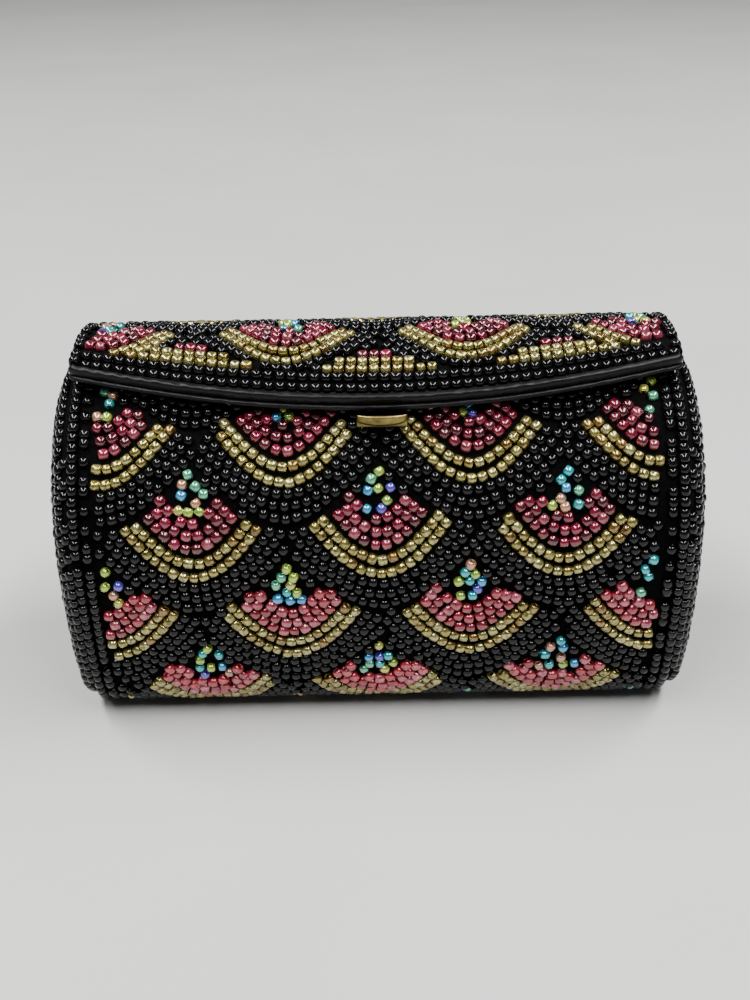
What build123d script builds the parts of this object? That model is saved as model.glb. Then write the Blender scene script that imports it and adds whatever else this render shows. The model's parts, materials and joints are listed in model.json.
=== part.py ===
"""Beaded coin purse: an upright oval barrel with a hinged lid. Millimetres, +Z up, front is -Y, long axis X.

The origin is the middle of the flat underside. The section is drawn in the YZ plane from tangent arcs, and
every layer of the wall is the same outline at its own inset.
"""

from build123d import *
from math import asin, atan2, cos, degrees, hypot, radians, sin, sqrt
import os

os.makedirs("parts", exist_ok=True)

# Barrel outline, at the tops of the beads
half_depth = 26.0
waist_height = 33.0
corner_radius = 12.9
low_side_radius = 80.0
high_side_radius = 30.0
crown_radius = 25.0

# Length of the strip, from seam to seam, and of the lid that overhangs it
half_length = 48.0
lid_half_length = 49.8
end_bulge = 4.6
end_edge_radius = 6.0

# Wall layers
bead_layer = 1.9
board = 1.2
lid_board = 1.0
leaf = 0.5
lining = 1.0
clearance = 0.3

# Lid section, at the tops of its beads
lid_centre = (-1.0, 35.5)
lid_radius = 29.95
lid_back_start = 80.0
lid_back_radius = 22.0
lid_front_angle = 150.0
past_the_lip = 170.0
frame_margin = 1.0
frame_rail = 5.0
frame_back_gap = 2.0

# Lip of the lid, in plan
lip_middle = 16.6
lip_ends = 9.8
band_depth = 1.0
band_top = 1.05
band_bottom = 2.3
piping_bottom = 3.4

# Mouth
rim_angle = 104.5
rim_bead_angle = 108.7
rim_edge_angle = 103.2
rail_angle = 114.0
rim_binding_thickness = 1.0

# Hinge
knuckle_radius = 1.3
pin_radius = 0.6
pin_clearance = 0.05
knuckle_count = 9
knuckle_span = 88.0
pin_head_radius = 1.1
pin_head = 0.6
board_margin = 1.6
bead_margin = 2.9
leaf_width = 6.0
web_width = 1.28
end_relief = 3.8
board_relief = 2.8

# Catch
catch_x = 0.8
tab_width = 8.0
tab_thickness = 0.6
tab_reach = 1.3
tab_lip = 1.9
tab_leg_y = -4.1
tab_leg_drop = 2.9
rivet_radius = 0.6
tab_rivet_y = -9.0
tab_rivet_spacing = 4.4
keeper_width = 6.0
keeper_thickness = 0.6
keeper_rivet_radius = 0.45
keeper_rivet_y = -6.6
keeper_rivet_spacing = 3.8
keeper_fold_angle = 1.0

# Longer than anything it has to cut through
reach = 70.0

# Centres of the outline's arcs, so that each one is tangent to the next
high_side_centre = (half_depth - high_side_radius, waist_height)
low_side_centre = (half_depth - low_side_radius, waist_height)
crown_rise = sqrt((high_side_radius - crown_radius) ** 2 - (high_side_radius - half_depth) ** 2)
crown_centre = (0.0, waist_height + crown_rise)
crown_angle = degrees(atan2(crown_rise, high_side_radius - half_depth))
corner_angle = degrees(asin((waist_height - corner_radius) / (low_side_radius - corner_radius)))
flat_half = low_side_centre[0] + (low_side_radius - corner_radius) * cos(radians(corner_angle))
corner_centre = (flat_half, corner_radius)
lid_back_centre = (
    lid_centre[0] + (lid_radius - lid_back_radius) * cos(radians(lid_back_start)),
    lid_centre[1] + (lid_radius - lid_back_radius) * sin(radians(lid_back_start)),
)


def crossing(centre_a, radius_a, centre_b, radius_b):
    """The rearmost point where two circles cross."""
    across = centre_b[0] - centre_a[0]
    up = centre_b[1] - centre_a[1]
    apart = hypot(across, up)
    along = (radius_a**2 - radius_b**2 + apart**2) / (2 * apart)
    aside = sqrt(radius_a**2 - along**2)
    y = centre_a[0] + (along * across + aside * up) / apart
    z = centre_a[1] + (along * up - aside * across) / apart
    return y, z


# The hinge axis lies where the outer face of the body's board meets that of the lid's board
hinge = crossing(
    high_side_centre, high_side_radius - bead_layer, lid_back_centre, lid_back_radius - bead_layer
)
body_hinge_angle = degrees(atan2(hinge[1] - high_side_centre[1], hinge[0] - high_side_centre[0]))
lid_hinge_angle = degrees(atan2(hinge[1] - lid_back_centre[1], hinge[0] - lid_back_centre[0]))
lid_thickness = bead_layer + lid_board + lining


def body_angle(distance):
    """Angle on the body's back, this far below the hinge axis."""
    return body_hinge_angle - degrees(distance / (high_side_radius - bead_layer))


def lid_angle(distance):
    """Angle on the lid's back, this far above the hinge axis."""
    return lid_hinge_angle + degrees(distance / (lid_back_radius - bead_layer))


def on_circle(centre, radius, angle):
    return (centre[0] + radius * cos(radians(angle)), centre[1] + radius * sin(radians(angle)))


def arc(centre, radius, start, end):
    CenterArc(centre, radius, start, end - start)


def barrel_face(inset, mode=Mode.ADD):
    """The body's section at an inset from the bead tops."""
    mirrored_corner = (-corner_centre[0], corner_centre[1])
    mirrored_low = (-low_side_centre[0], low_side_centre[1])
    mirrored_high = (-high_side_centre[0], high_side_centre[1])
    with BuildLine() as outline:
        Line((-flat_half, inset), (flat_half, inset))
        arc(corner_centre, corner_radius - inset, -90, -corner_angle)
        arc(low_side_centre, low_side_radius - inset, -corner_angle, 0)
        arc(high_side_centre, high_side_radius - inset, 0, crown_angle)
        arc(crown_centre, crown_radius - inset, crown_angle, 180 - crown_angle)
        arc(mirrored_high, high_side_radius - inset, 180 - crown_angle, 180)
        arc(mirrored_low, low_side_radius - inset, 180, 180 + corner_angle)
        arc(mirrored_corner, corner_radius - inset, 180 + corner_angle, 270)
    make_face(outline.edges(), mode=mode)


def lid_face(inset, mode=Mode.ADD):
    """The region under the lid's section at an inset from its bead tops."""
    front_radius = lid_radius - inset
    back_radius = lid_back_radius - inset
    front_end = on_circle(lid_centre, front_radius, lid_front_angle)
    back_end = on_circle(lid_back_centre, back_radius, 0)
    with BuildLine() as outline:
        arc(lid_back_centre, back_radius, 0, lid_back_start)
        arc(lid_centre, front_radius, lid_back_start, lid_front_angle)
        Polyline(front_end, lid_centre, back_end)
    make_face(outline.edges(), mode=mode)


def toward(centre, angle):
    return on_circle(centre, reach, angle)


def wedge(centre, start, end, mode=Mode.INTERSECT):
    """The slice of the section between two angles about a centre."""
    middle = (start + end) / 2
    with BuildLine() as outline:
        Polyline(centre, toward(centre, start), toward(centre, middle), toward(centre, end), close=True)
    make_face(outline.edges(), mode=mode)


def mouth(front, back, mode=Mode.SUBTRACT):
    """The part of the section above the front rim's angle and the back rim's angle."""
    corners = [high_side_centre, toward(high_side_centre, back), (reach, reach * 2)]
    corners += [(-reach, reach * 2), toward(crown_centre, front), crown_centre]
    with BuildLine() as outline:
        Polyline(*corners, close=True)
    make_face(outline.edges(), mode=mode)


def lid_space(mode=Mode.SUBTRACT):
    """The room that the lid and its hinge side sweep through, outside its inner face."""
    inner = lid_thickness + clearance
    radius = lid_radius - inner
    back_radius = lid_back_radius - inner
    front = on_circle(lid_centre, radius, lid_front_angle)
    back = on_circle(lid_back_centre, back_radius, lid_hinge_angle)
    around = [(-reach, front[1]), (-reach, reach * 2), (reach, reach * 2), (reach, back[1])]
    with BuildLine() as outline:
        arc(lid_back_centre, back_radius, lid_hinge_angle, lid_back_start)
        arc(lid_centre, radius, lid_back_start, lid_front_angle)
        Polyline(front, *around, back)
    make_face(outline.edges(), mode=mode)


def lip_radius(shift):
    """Radius in plan of the lip's curve, moved forward by shift."""
    sag = lip_middle - lip_ends
    return (lid_half_length**2 + sag**2) / (2 * sag) + shift


def lid_plan(shift, length, mode=Mode.ADD):
    """The lid from above: straight sides and a bowed lip, moved forward by shift."""
    radius = lip_radius(shift)
    centre_y = radius - lip_middle - shift
    end_y = centre_y - sqrt(radius**2 - length**2)
    with BuildLine() as outline:
        ThreePointArc((-length, end_y), (0, centre_y - radius), (length, end_y))
        Polyline((length, end_y), (length, reach), (-length, reach), (-length, end_y))
    make_face(outline.edges(), mode=mode)


def rivet_posts(y, spacing, radius, mode):
    """A pair of upright posts for rivets, or for the holes that they pass through."""
    with BuildSketch(Plane.XY) as posts:
        with Locations((catch_x - spacing / 2, y), (catch_x + spacing / 2, y)):
            Circle(radius)
    extrude(posts.sketch, amount=reach, mode=mode)


def tab_rivet_posts(mode):
    rivet_posts(tab_rivet_y, tab_rivet_spacing, rivet_radius, mode)


def keeper_rivet_posts(mode):
    rivet_posts(keeper_rivet_y, keeper_rivet_spacing, keeper_rivet_radius, mode)


knuckle_pitch = knuckle_span / knuckle_count
knuckle_length = knuckle_pitch - clearance


def knuckle_start(index):
    return -knuckle_span / 2 + index * knuckle_pitch + clearance / 2


def knuckles(first):
    """Every second knuckle, from the first given. Each is a tube about the hinge axis."""
    for index in range(first, knuckle_count, 2):
        with BuildSketch(Plane.YZ.offset(knuckle_start(index))) as knuckle:
            with Locations(hinge):
                Circle(knuckle_radius)
        extrude(knuckle.sketch, amount=knuckle_length)


def hinge_cylinder(radius, length):
    """Cuts a cylinder about the hinge axis, as long as length and centred."""
    with BuildSketch(Plane.YZ) as circle:
        with Locations(hinge):
            Circle(radius)
    extrude(circle.sketch, amount=length / 2, both=True, mode=Mode.SUBTRACT)


def save(part, name):
    part.label = name
    export_step(part, f"parts/{name}.step")


# Body: beaded strip over the front, underside and back
with BuildPart() as body_bead_cover:
    with BuildSketch(Plane.YZ):
        barrel_face(0)
        barrel_face(bead_layer, mode=Mode.SUBTRACT)
        mouth(rim_bead_angle, body_angle(bead_margin))
    extrude(amount=half_length, both=True)
save(body_bead_cover.part, "body_bead_cover")

# Body: stiff board under the beads
with BuildPart() as body_board:
    with BuildSketch(Plane.YZ):
        barrel_face(bead_layer)
        barrel_face(bead_layer + board, mode=Mode.SUBTRACT)
        mouth(rim_angle, body_angle(board_margin))
    extrude(amount=half_length, both=True)
    keeper_rivet_posts(Mode.SUBTRACT)
save(body_board.part, "body_board")

# Body: brass rail inside the front rim
rail_outer = bead_layer + board
with BuildPart() as front_rim_rail:
    with BuildSketch(Plane.YZ):
        barrel_face(rail_outer)
        barrel_face(rail_outer + leaf, mode=Mode.SUBTRACT)
        wedge(crown_centre, rim_angle, rail_angle)
    extrude(amount=knuckle_span / 2, both=True)
    keeper_rivet_posts(Mode.SUBTRACT)
save(front_rim_rail.part, "front_rim_rail")

# Body: brass hinge leaf inside the back rim, with its knuckles
with BuildPart() as body_hinge_leaf:
    with BuildSketch(Plane.YZ):
        barrel_face(rail_outer)
        barrel_face(rail_outer + leaf, mode=Mode.SUBTRACT)
        wedge(high_side_centre, body_angle(leaf_width), body_hinge_angle)
    extrude(amount=knuckle_span / 2, both=True)
    hinge_cylinder(knuckle_radius + clearance, knuckle_span * 2)
    for index in range(0, knuckle_count, 2):
        with BuildSketch(Plane.YZ.offset(knuckle_start(index))):
            barrel_face(bead_layer)
            barrel_face(rail_outer + leaf, mode=Mode.SUBTRACT)
            wedge(high_side_centre, body_angle(web_width), body_hinge_angle)
        extrude(amount=knuckle_length)
    knuckles(0)
    hinge_cylinder(pin_radius, knuckle_span * 2)
save(body_hinge_leaf.part, "body_hinge_leaf")

# Body: satin lining, thinner where it passes over the rail and the leaf
with BuildPart() as body_lining:
    with BuildSketch(Plane.YZ):
        barrel_face(rail_outer)
        barrel_face(rail_outer + lining, mode=Mode.SUBTRACT)
        mouth(rim_angle, body_angle(board_margin))
    extrude(amount=half_length - board, both=True)
    add(front_rim_rail.part, mode=Mode.SUBTRACT)
    add(body_hinge_leaf.part, mode=Mode.SUBTRACT)
    keeper_rivet_posts(Mode.SUBTRACT)
save(body_lining.part, "body_lining")

# Body: satin binding folded over the front rim
binding_outer = bead_layer - rim_binding_thickness
with BuildPart() as front_rim_binding:
    with BuildSketch(Plane.YZ):
        barrel_face(binding_outer)
        barrel_face(bead_layer, mode=Mode.SUBTRACT)
        wedge(crown_centre, rim_edge_angle, rim_bead_angle)
    extrude(amount=half_length - board, both=True)
    with BuildSketch(Plane.YZ):
        barrel_face(binding_outer)
        barrel_face(rail_outer + lining, mode=Mode.SUBTRACT)
        wedge(crown_centre, rim_edge_angle, rim_angle)
    extrude(amount=half_length - board, both=True)
    keeper_rivet_posts(Mode.SUBTRACT)
save(front_rim_binding.part, "front_rim_binding")

# Body: brass keeper over the rim, and its two rivets
keeper_outer = binding_outer - keeper_thickness
keeper_edge_angle = rim_edge_angle - keeper_fold_angle
with BuildPart() as catch_keeper:
    with BuildSketch(Plane.YZ.offset(catch_x - keeper_width / 2)):
        barrel_face(keeper_outer)
        barrel_face(binding_outer, mode=Mode.SUBTRACT)
        wedge(crown_centre, keeper_edge_angle, rim_bead_angle)
    extrude(amount=keeper_width)
    with BuildSketch(Plane.YZ.offset(catch_x - keeper_width / 2)):
        barrel_face(keeper_outer)
        barrel_face(rail_outer, mode=Mode.SUBTRACT)
        wedge(crown_centre, keeper_edge_angle, rim_edge_angle)
    extrude(amount=keeper_width)
    keeper_rivet_posts(Mode.SUBTRACT)
save(catch_keeper.part, "catch_keeper")

with BuildPart() as keeper_rivets:
    with BuildSketch(Plane.YZ.offset(-reach)):
        barrel_face(keeper_outer)
        barrel_face(rail_outer + leaf, mode=Mode.SUBTRACT)
        wedge(crown_centre, keeper_edge_angle, rail_angle)
    extrude(amount=reach * 2)
    keeper_rivet_posts(Mode.INTERSECT)
save(keeper_rivets.part, "keeper_rivets")

# Hinge pin, with a small head at each end
with BuildPart() as hinge_pin:
    with BuildSketch(Plane.YZ):
        with Locations(hinge):
            Circle(pin_radius)
    extrude(amount=knuckle_span / 2, both=True)
    for sign in (-1, 1):
        with BuildSketch(Plane.YZ.offset(sign * knuckle_span / 2)):
            with Locations(hinge):
                Circle(pin_head_radius)
        extrude(amount=sign * pin_head)
save(hinge_pin.part, "hinge_pin")

# Ends: for each, a board, its lining, a soft pad and the beaded panel over the pad
for side, sign in (("left", -1), ("right", 1)):
    with BuildPart() as end_board:
        with BuildSketch(Plane.YZ.offset(sign * (half_length - board))):
            barrel_face(0)
            mouth(rim_edge_angle, body_hinge_angle, mode=Mode.INTERSECT)
            barrel_face(rail_outer)
            lid_space()
            with Locations(hinge):
                Circle(board_relief, mode=Mode.SUBTRACT)
        extrude(amount=sign * board)
    save(end_board.part, f"end_board_{side}")

    with BuildPart() as end_lining:
        with BuildSketch(Plane.YZ.offset(sign * (half_length - board))):
            barrel_face(0)
            mouth(rim_edge_angle, body_hinge_angle, mode=Mode.INTERSECT)
            barrel_face(rail_outer + lining)
            lid_space()
            with Locations(hinge):
                Circle(board_relief, mode=Mode.SUBTRACT)
        extrude(amount=-sign * leaf)
    save(end_lining.part, f"end_lining_{side}")

    with BuildPart() as end_pad:
        with BuildSketch(Plane.YZ.offset(sign * half_length)):
            barrel_face(bead_layer)
        extrude(amount=sign * end_bulge)
        outer_face = end_pad.faces().sort_by(Axis.X)[-1 if sign > 0 else 0]
        fillet(outer_face.edges(), end_edge_radius - bead_layer)
        with BuildSketch(Plane.YZ):
            lid_space(mode=Mode.ADD)
            with Locations(hinge):
                Circle(end_relief)
        extrude(amount=sign * reach, mode=Mode.SUBTRACT)
    save(end_pad.part, f"end_pad_{side}")

    with BuildPart() as end_bead_cover:
        with BuildSketch(Plane.YZ.offset(sign * half_length)):
            barrel_face(0)
        extrude(amount=sign * (end_bulge + bead_layer))
        outer_face = end_bead_cover.faces().sort_by(Axis.X)[-1 if sign > 0 else 0]
        fillet(outer_face.edges(), end_edge_radius)
        add(end_pad.part, mode=Mode.SUBTRACT)
        with BuildSketch(Plane.YZ):
            lid_space(mode=Mode.ADD)
            with Locations(hinge):
                Circle(end_relief)
        extrude(amount=sign * reach, mode=Mode.SUBTRACT)
    save(end_bead_cover.part, f"end_bead_cover_{side}")

# Lid: beaded cover
with BuildPart() as lid_bead_cover:
    with BuildSketch(Plane.YZ):
        lid_face(0)
        lid_face(bead_layer, mode=Mode.SUBTRACT)
        wedge(lid_back_centre, lid_angle(bead_margin), past_the_lip)
    extrude(amount=lid_half_length, both=True)
    with BuildSketch(Plane.XY):
        lid_plan(0, lid_half_length)
    extrude(amount=reach * 2, mode=Mode.INTERSECT)
save(lid_bead_cover.part, "lid_bead_cover")

# Lid: stiff board
frame_outer = bead_layer + lid_board
with BuildPart() as lid_board_part:
    with BuildSketch(Plane.YZ):
        lid_face(bead_layer)
        lid_face(frame_outer, mode=Mode.SUBTRACT)
        wedge(lid_back_centre, lid_angle(board_margin), past_the_lip)
    extrude(amount=half_length, both=True)
    with BuildSketch(Plane.XY):
        lid_plan(0, lid_half_length)
    extrude(amount=reach * 2, mode=Mode.INTERSECT)
    tab_rivet_posts(Mode.SUBTRACT)
save(lid_board_part.part, "lid_board")

# Lid: brass frame round the edge, with the lid's knuckles
with BuildPart() as lid_frame:
    with BuildSketch(Plane.YZ):
        lid_face(frame_outer)
        lid_face(frame_outer + leaf, mode=Mode.SUBTRACT)
        wedge(lid_back_centre, lid_hinge_angle, past_the_lip)
    extrude(amount=half_length - frame_margin, both=True)
    with BuildSketch(Plane.XY):
        lid_plan(-frame_margin, lid_half_length)
    extrude(amount=reach * 2, mode=Mode.INTERSECT)
    with BuildSketch(Plane.XY):
        lid_plan(-frame_margin - frame_rail, half_length - frame_margin - frame_rail)
        with Locations((0, hinge[0] - frame_back_gap)):
            Rectangle(reach * 2, reach * 2, align=(Align.CENTER, Align.MIN), mode=Mode.SUBTRACT)
    extrude(amount=reach * 2, mode=Mode.SUBTRACT)
    hinge_cylinder(knuckle_radius + clearance, reach * 2)
    for index in range(1, knuckle_count, 2):
        with BuildSketch(Plane.YZ.offset(knuckle_start(index))):
            lid_face(bead_layer)
            lid_face(frame_outer + leaf, mode=Mode.SUBTRACT)
            wedge(lid_back_centre, lid_hinge_angle, lid_angle(web_width))
        extrude(amount=knuckle_length)
    knuckles(1)
    hinge_cylinder(pin_radius + pin_clearance, knuckle_span * 2)
    tab_rivet_posts(Mode.SUBTRACT)
save(lid_frame.part, "lid_frame")

# Lid: brass thumb tab under the frame, with a turned-up lip, and a leg that drops behind the body's rim
tab_outer = frame_outer + leaf
tab_inner = tab_outer + tab_thickness
tab_front = -lip_middle - band_depth - tab_reach
tab_front_z = lid_centre[1] + sqrt((lid_radius - tab_outer) ** 2 - (lid_centre[0] - tab_front) ** 2)
leg_top = lid_centre[1] + sqrt((lid_radius - tab_outer) ** 2 - (lid_centre[0] - tab_leg_y) ** 2)
with BuildPart() as catch_tab:
    with BuildSketch(Plane.YZ.offset(catch_x - tab_width / 2)):
        lid_face(tab_outer)
        lid_face(tab_inner, mode=Mode.SUBTRACT)
        with Locations((tab_front, lid_centre[1])):
            length = tab_leg_y + tab_thickness - tab_front
            Rectangle(length, reach, align=(Align.MIN, Align.MIN), mode=Mode.INTERSECT)
        with Locations((tab_front, tab_front_z - tab_thickness)):
            Rectangle(tab_thickness, tab_thickness + tab_lip, align=(Align.MIN, Align.MIN))
        with Locations((tab_leg_y, leg_top)):
            Rectangle(tab_thickness, tab_leg_drop, align=(Align.MIN, Align.MAX))
    extrude(amount=tab_width)
    tab_rivet_posts(Mode.SUBTRACT)
save(catch_tab.part, "catch_tab")

# Lid: satin lining, cut where the frame and the tab take its place
with BuildPart() as lid_lining:
    with BuildSketch(Plane.YZ):
        lid_face(frame_outer)
        lid_face(lid_thickness, mode=Mode.SUBTRACT)
        wedge(lid_back_centre, lid_angle(board_margin), past_the_lip)
    extrude(amount=half_length, both=True)
    with BuildSketch(Plane.XY):
        lid_plan(0, lid_half_length)
    extrude(amount=reach * 2, mode=Mode.INTERSECT)
    add(lid_frame.part, mode=Mode.SUBTRACT)
    add(catch_tab.part, mode=Mode.SUBTRACT)
    tab_rivet_posts(Mode.SUBTRACT)
save(lid_lining.part, "lid_lining")


# Lid: satin band along the lip, and the thin roll under it
def lip_strip(outer, inner):
    """A strip in front of the lip between two insets from the lid's bead tops."""
    with BuildSketch(Plane.YZ) as section:
        lid_face(outer)
        lid_face(inner, mode=Mode.SUBTRACT)
    extrude(section.sketch, amount=lid_half_length, both=True)
    with BuildSketch(Plane.XY) as plan:
        lid_plan(band_depth, lid_half_length)
        lid_plan(0, lid_half_length, mode=Mode.SUBTRACT)
    extrude(plan.sketch, amount=reach * 2, mode=Mode.INTERSECT)


with BuildPart() as lid_edge_band:
    lip_strip(band_top, band_bottom)
save(lid_edge_band.part, "lid_edge_band")

with BuildPart() as lid_piping:
    lip_strip(band_bottom, piping_bottom)
save(lid_piping.part, "lid_piping")

# Lid: the tab's two rivets, up through the frame and the board
with BuildPart() as tab_rivets:
    with BuildSketch(Plane.YZ.offset(-reach)):
        lid_face(bead_layer)
        lid_face(tab_inner, mode=Mode.SUBTRACT)
    extrude(amount=reach * 2)
    tab_rivet_posts(Mode.INTERSECT)
save(tab_rivets.part, "tab_rivets")

print("hinge axis", hinge, "flat half width", flat_half)
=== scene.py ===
"""Beaded coin purse: seed beads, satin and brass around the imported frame.

Layouts are worked out in millimetres on unrolled panels and turned into metres when a mesh is made. Each
panel runs the way its fish scales point: the body's strip from the front rim down, under and up the back,
and the lid from the hinge over the top to the lip.
"""

import json
import math

import bmesh
import bpy
import numpy as np
from mathutils import Matrix, Vector


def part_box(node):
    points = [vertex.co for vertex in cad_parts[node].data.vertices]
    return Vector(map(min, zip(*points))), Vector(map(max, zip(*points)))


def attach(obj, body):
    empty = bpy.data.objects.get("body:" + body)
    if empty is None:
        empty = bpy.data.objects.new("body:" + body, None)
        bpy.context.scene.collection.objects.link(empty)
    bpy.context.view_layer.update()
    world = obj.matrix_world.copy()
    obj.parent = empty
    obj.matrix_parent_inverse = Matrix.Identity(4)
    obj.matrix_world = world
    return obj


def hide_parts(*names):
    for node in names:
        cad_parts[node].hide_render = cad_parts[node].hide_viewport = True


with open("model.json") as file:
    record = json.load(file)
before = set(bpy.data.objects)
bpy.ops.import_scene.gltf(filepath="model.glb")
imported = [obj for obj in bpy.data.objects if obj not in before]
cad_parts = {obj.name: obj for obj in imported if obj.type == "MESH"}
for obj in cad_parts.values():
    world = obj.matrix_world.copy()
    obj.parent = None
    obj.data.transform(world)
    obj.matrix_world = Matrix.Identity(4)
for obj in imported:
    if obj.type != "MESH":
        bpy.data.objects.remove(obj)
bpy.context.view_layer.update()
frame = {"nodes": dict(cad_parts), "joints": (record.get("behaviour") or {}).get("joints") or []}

MM = 0.001
rng = np.random.default_rng(11)

# Beads: radius, distance between threads, closest two beads may be, and how round they are made
BEAD_RADIUS = 0.94
ROW_SPACING = 1.92
CLOSEST = 1.56
BEAD_SEGMENTS = 10
PITCHES = {"black": 1.8, "gold": 1.68, "red": 1.84}
SEAM_PITCH = 1.62
LIP_PITCH = 1.86

# Fish scales: the spacing of their centres, and where the first row of them lies
SCALE_PITCH = 29.6
SCALE_ROWS = 16.2
FRONT_FIRST_CENTRE = 8.4
LID_FIRST_CENTRE = 17.9

# A row across a scale is a rounded V: its lowest place, half its width, and how far it rises there
GOLD_ROWS = ((11.2, 10.9, 9.2), (8.55, 9.6, 7.8))
RED_ROWS = ((5.9, 7.5, 6.6), (3.7, 6.2, 5.3), (1.5, 4.8, 3.9))
CLOSE_RED_ROWS = ((6.2, 8.1, 7.0), (4.2, 6.8, 5.8), (2.3, 5.4, 4.5))
SCALE_EDGE = (18.0, 7.4, 3.5)
BLACK_FIRST = 1.85
BLACK_LAST = 0.87
BLACK_THREADS = 3
GLOW_TOP = 6.4
GLOW_STEP = 1.5
FILL_STEP = 0.45

# Wall layers, as in the CAD model
BEAD_LAYER = 1.9
LID_THICKNESS = 3.9
CLOTH_TOP = 1.25


# ---------------------------------------------------------------- outlines read from the frame


def node_points(node):
    """A CAD node's vertices in millimetres."""
    mesh = frame["nodes"][node].data
    co = np.empty(len(mesh.vertices) * 3)
    mesh.vertices.foreach_get("co", co)
    return co.reshape(-1, 3) / MM


def hull(points):
    """The convex hull of 2-D points, anticlockwise."""
    points = sorted(set(map(tuple, np.round(points, 4))))

    def half(sequence):
        chain = []
        for p in sequence:
            while len(chain) > 1:
                a, b = chain[-2], chain[-1]
                if (b[0] - a[0]) * (p[1] - a[1]) - (b[1] - a[1]) * (p[0] - a[0]) > 1e-6:
                    break
                chain.pop()
            chain.append(p)
        return chain[:-1]

    return np.array(half(points) + half(points[::-1]))


class Outline:
    """An outline in the section, with its length, points and outward normals."""

    def __init__(self, ring, reach=0.9):
        self.points = ring
        self.reach = reach
        steps = np.linalg.norm(np.diff(self.points, axis=0), axis=1)
        self.along = np.concatenate([[0], np.cumsum(steps)])
        self.length = float(self.along[-1])

    def raw(self, t):
        t = np.clip(t, 0, self.length)
        y = np.interp(t, self.along, self.points[:, 0])
        z = np.interp(t, self.along, self.points[:, 1])
        return np.stack([y, z], -1)

    def at(self, t, inset=0.0):
        """The point at t, moved inward by inset, its outward normal and its direction."""
        t = np.asarray(t, float)
        low = np.clip(t - self.reach, 0, self.length - 2 * self.reach)
        d = self.raw(low + 2 * self.reach) - self.raw(low)
        d = d / np.linalg.norm(d, axis=-1, keepdims=True)
        n = np.stack([d[..., 1], -d[..., 0]], -1)
        over = t - np.clip(t, 0, self.length)
        inset = np.asarray(inset, float)[..., None]
        return self.raw(t) + d * over[..., None] - n * inset, n, d


def open_outline(node, trim):
    """The outer outline of a node whose section is open, without trim points of its end faces at each end."""
    ring = hull(node_points(node)[:, 1:])
    gaps = np.linalg.norm(np.roll(ring, -1, 0) - ring, axis=1)
    ring = np.roll(ring, -int(np.argmax(gaps)) - 1, 0)
    return Outline(ring[trim : len(ring) - trim])


strip = open_outline("body_bead_cover", 0)
lid = open_outline("lid_bead_cover", 1)
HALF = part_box("body_bead_cover")[1].x / MM
LID_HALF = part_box("lid_bead_cover")[1].x / MM
END_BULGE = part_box("end_bead_cover_right")[1].x / MM - HALF
HINGE = np.array(frame["joints"][0]["pos_m"][1:]) / MM
LIP_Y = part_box("lid_bead_cover")[0].y / MM
lid_ends = node_points("lid_bead_cover")
LIP_SAG = lid_ends[np.abs(lid_ends[:, 0]) > LID_HALF - 0.01][:, 1].min() - LIP_Y
LIP_RADIUS = (LID_HALF**2 + LIP_SAG**2) / (2 * LIP_SAG)


def lip_y(x):
    return LIP_Y + LIP_RADIUS - np.sqrt(LIP_RADIUS**2 - np.asarray(x, float) ** 2)


def lip_at(x):
    """Where on the lid's outline the lip lies at x, because it bows forward in the middle."""
    t = np.linspace(lid.length - 16, lid.length, 200)
    return np.interp(lip_y(x), lid.raw(t)[::-1, 0], t[::-1])


def lip_point(x, inset):
    """The lid's lip at x and at an inset: the point, its outward normal and the way out of the lip."""
    t = np.linspace(lid.length - 14, lid.length + 4, 120)
    plan = lid.at(t, inset)[0][:, 0]
    return lid.at(float(np.interp(lip_y(x), plan[::-1], t[::-1])), inset)


# ---------------------------------------------------------------- meshes and materials


def make_object(name, vertices, faces, body, tint=None):
    """A mesh object from arrays in millimetres. faces is an array of quads."""
    mesh = bpy.data.meshes.new(name)
    faces = np.asarray(faces, np.int32)
    mesh.vertices.add(len(vertices))
    mesh.vertices.foreach_set("co", (np.asarray(vertices) * MM).astype(np.float32).ravel())
    mesh.loops.add(faces.size)
    mesh.loops.foreach_set("vertex_index", faces.ravel())
    mesh.polygons.add(len(faces))
    mesh.polygons.foreach_set("loop_start", np.arange(0, faces.size, faces.shape[1], dtype=np.int32))
    mesh.polygons.foreach_set("use_smooth", np.ones(len(faces), bool))
    mesh.update(calc_edges=True)
    if tint is not None:
        layer = mesh.color_attributes.new("tint", "FLOAT_COLOR", "POINT")
        layer.data.foreach_set("color", tint.astype(np.float32).ravel())
    obj = bpy.data.objects.new(name, mesh)
    bpy.context.scene.collection.objects.link(obj)
    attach(obj, body)
    return obj


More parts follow.
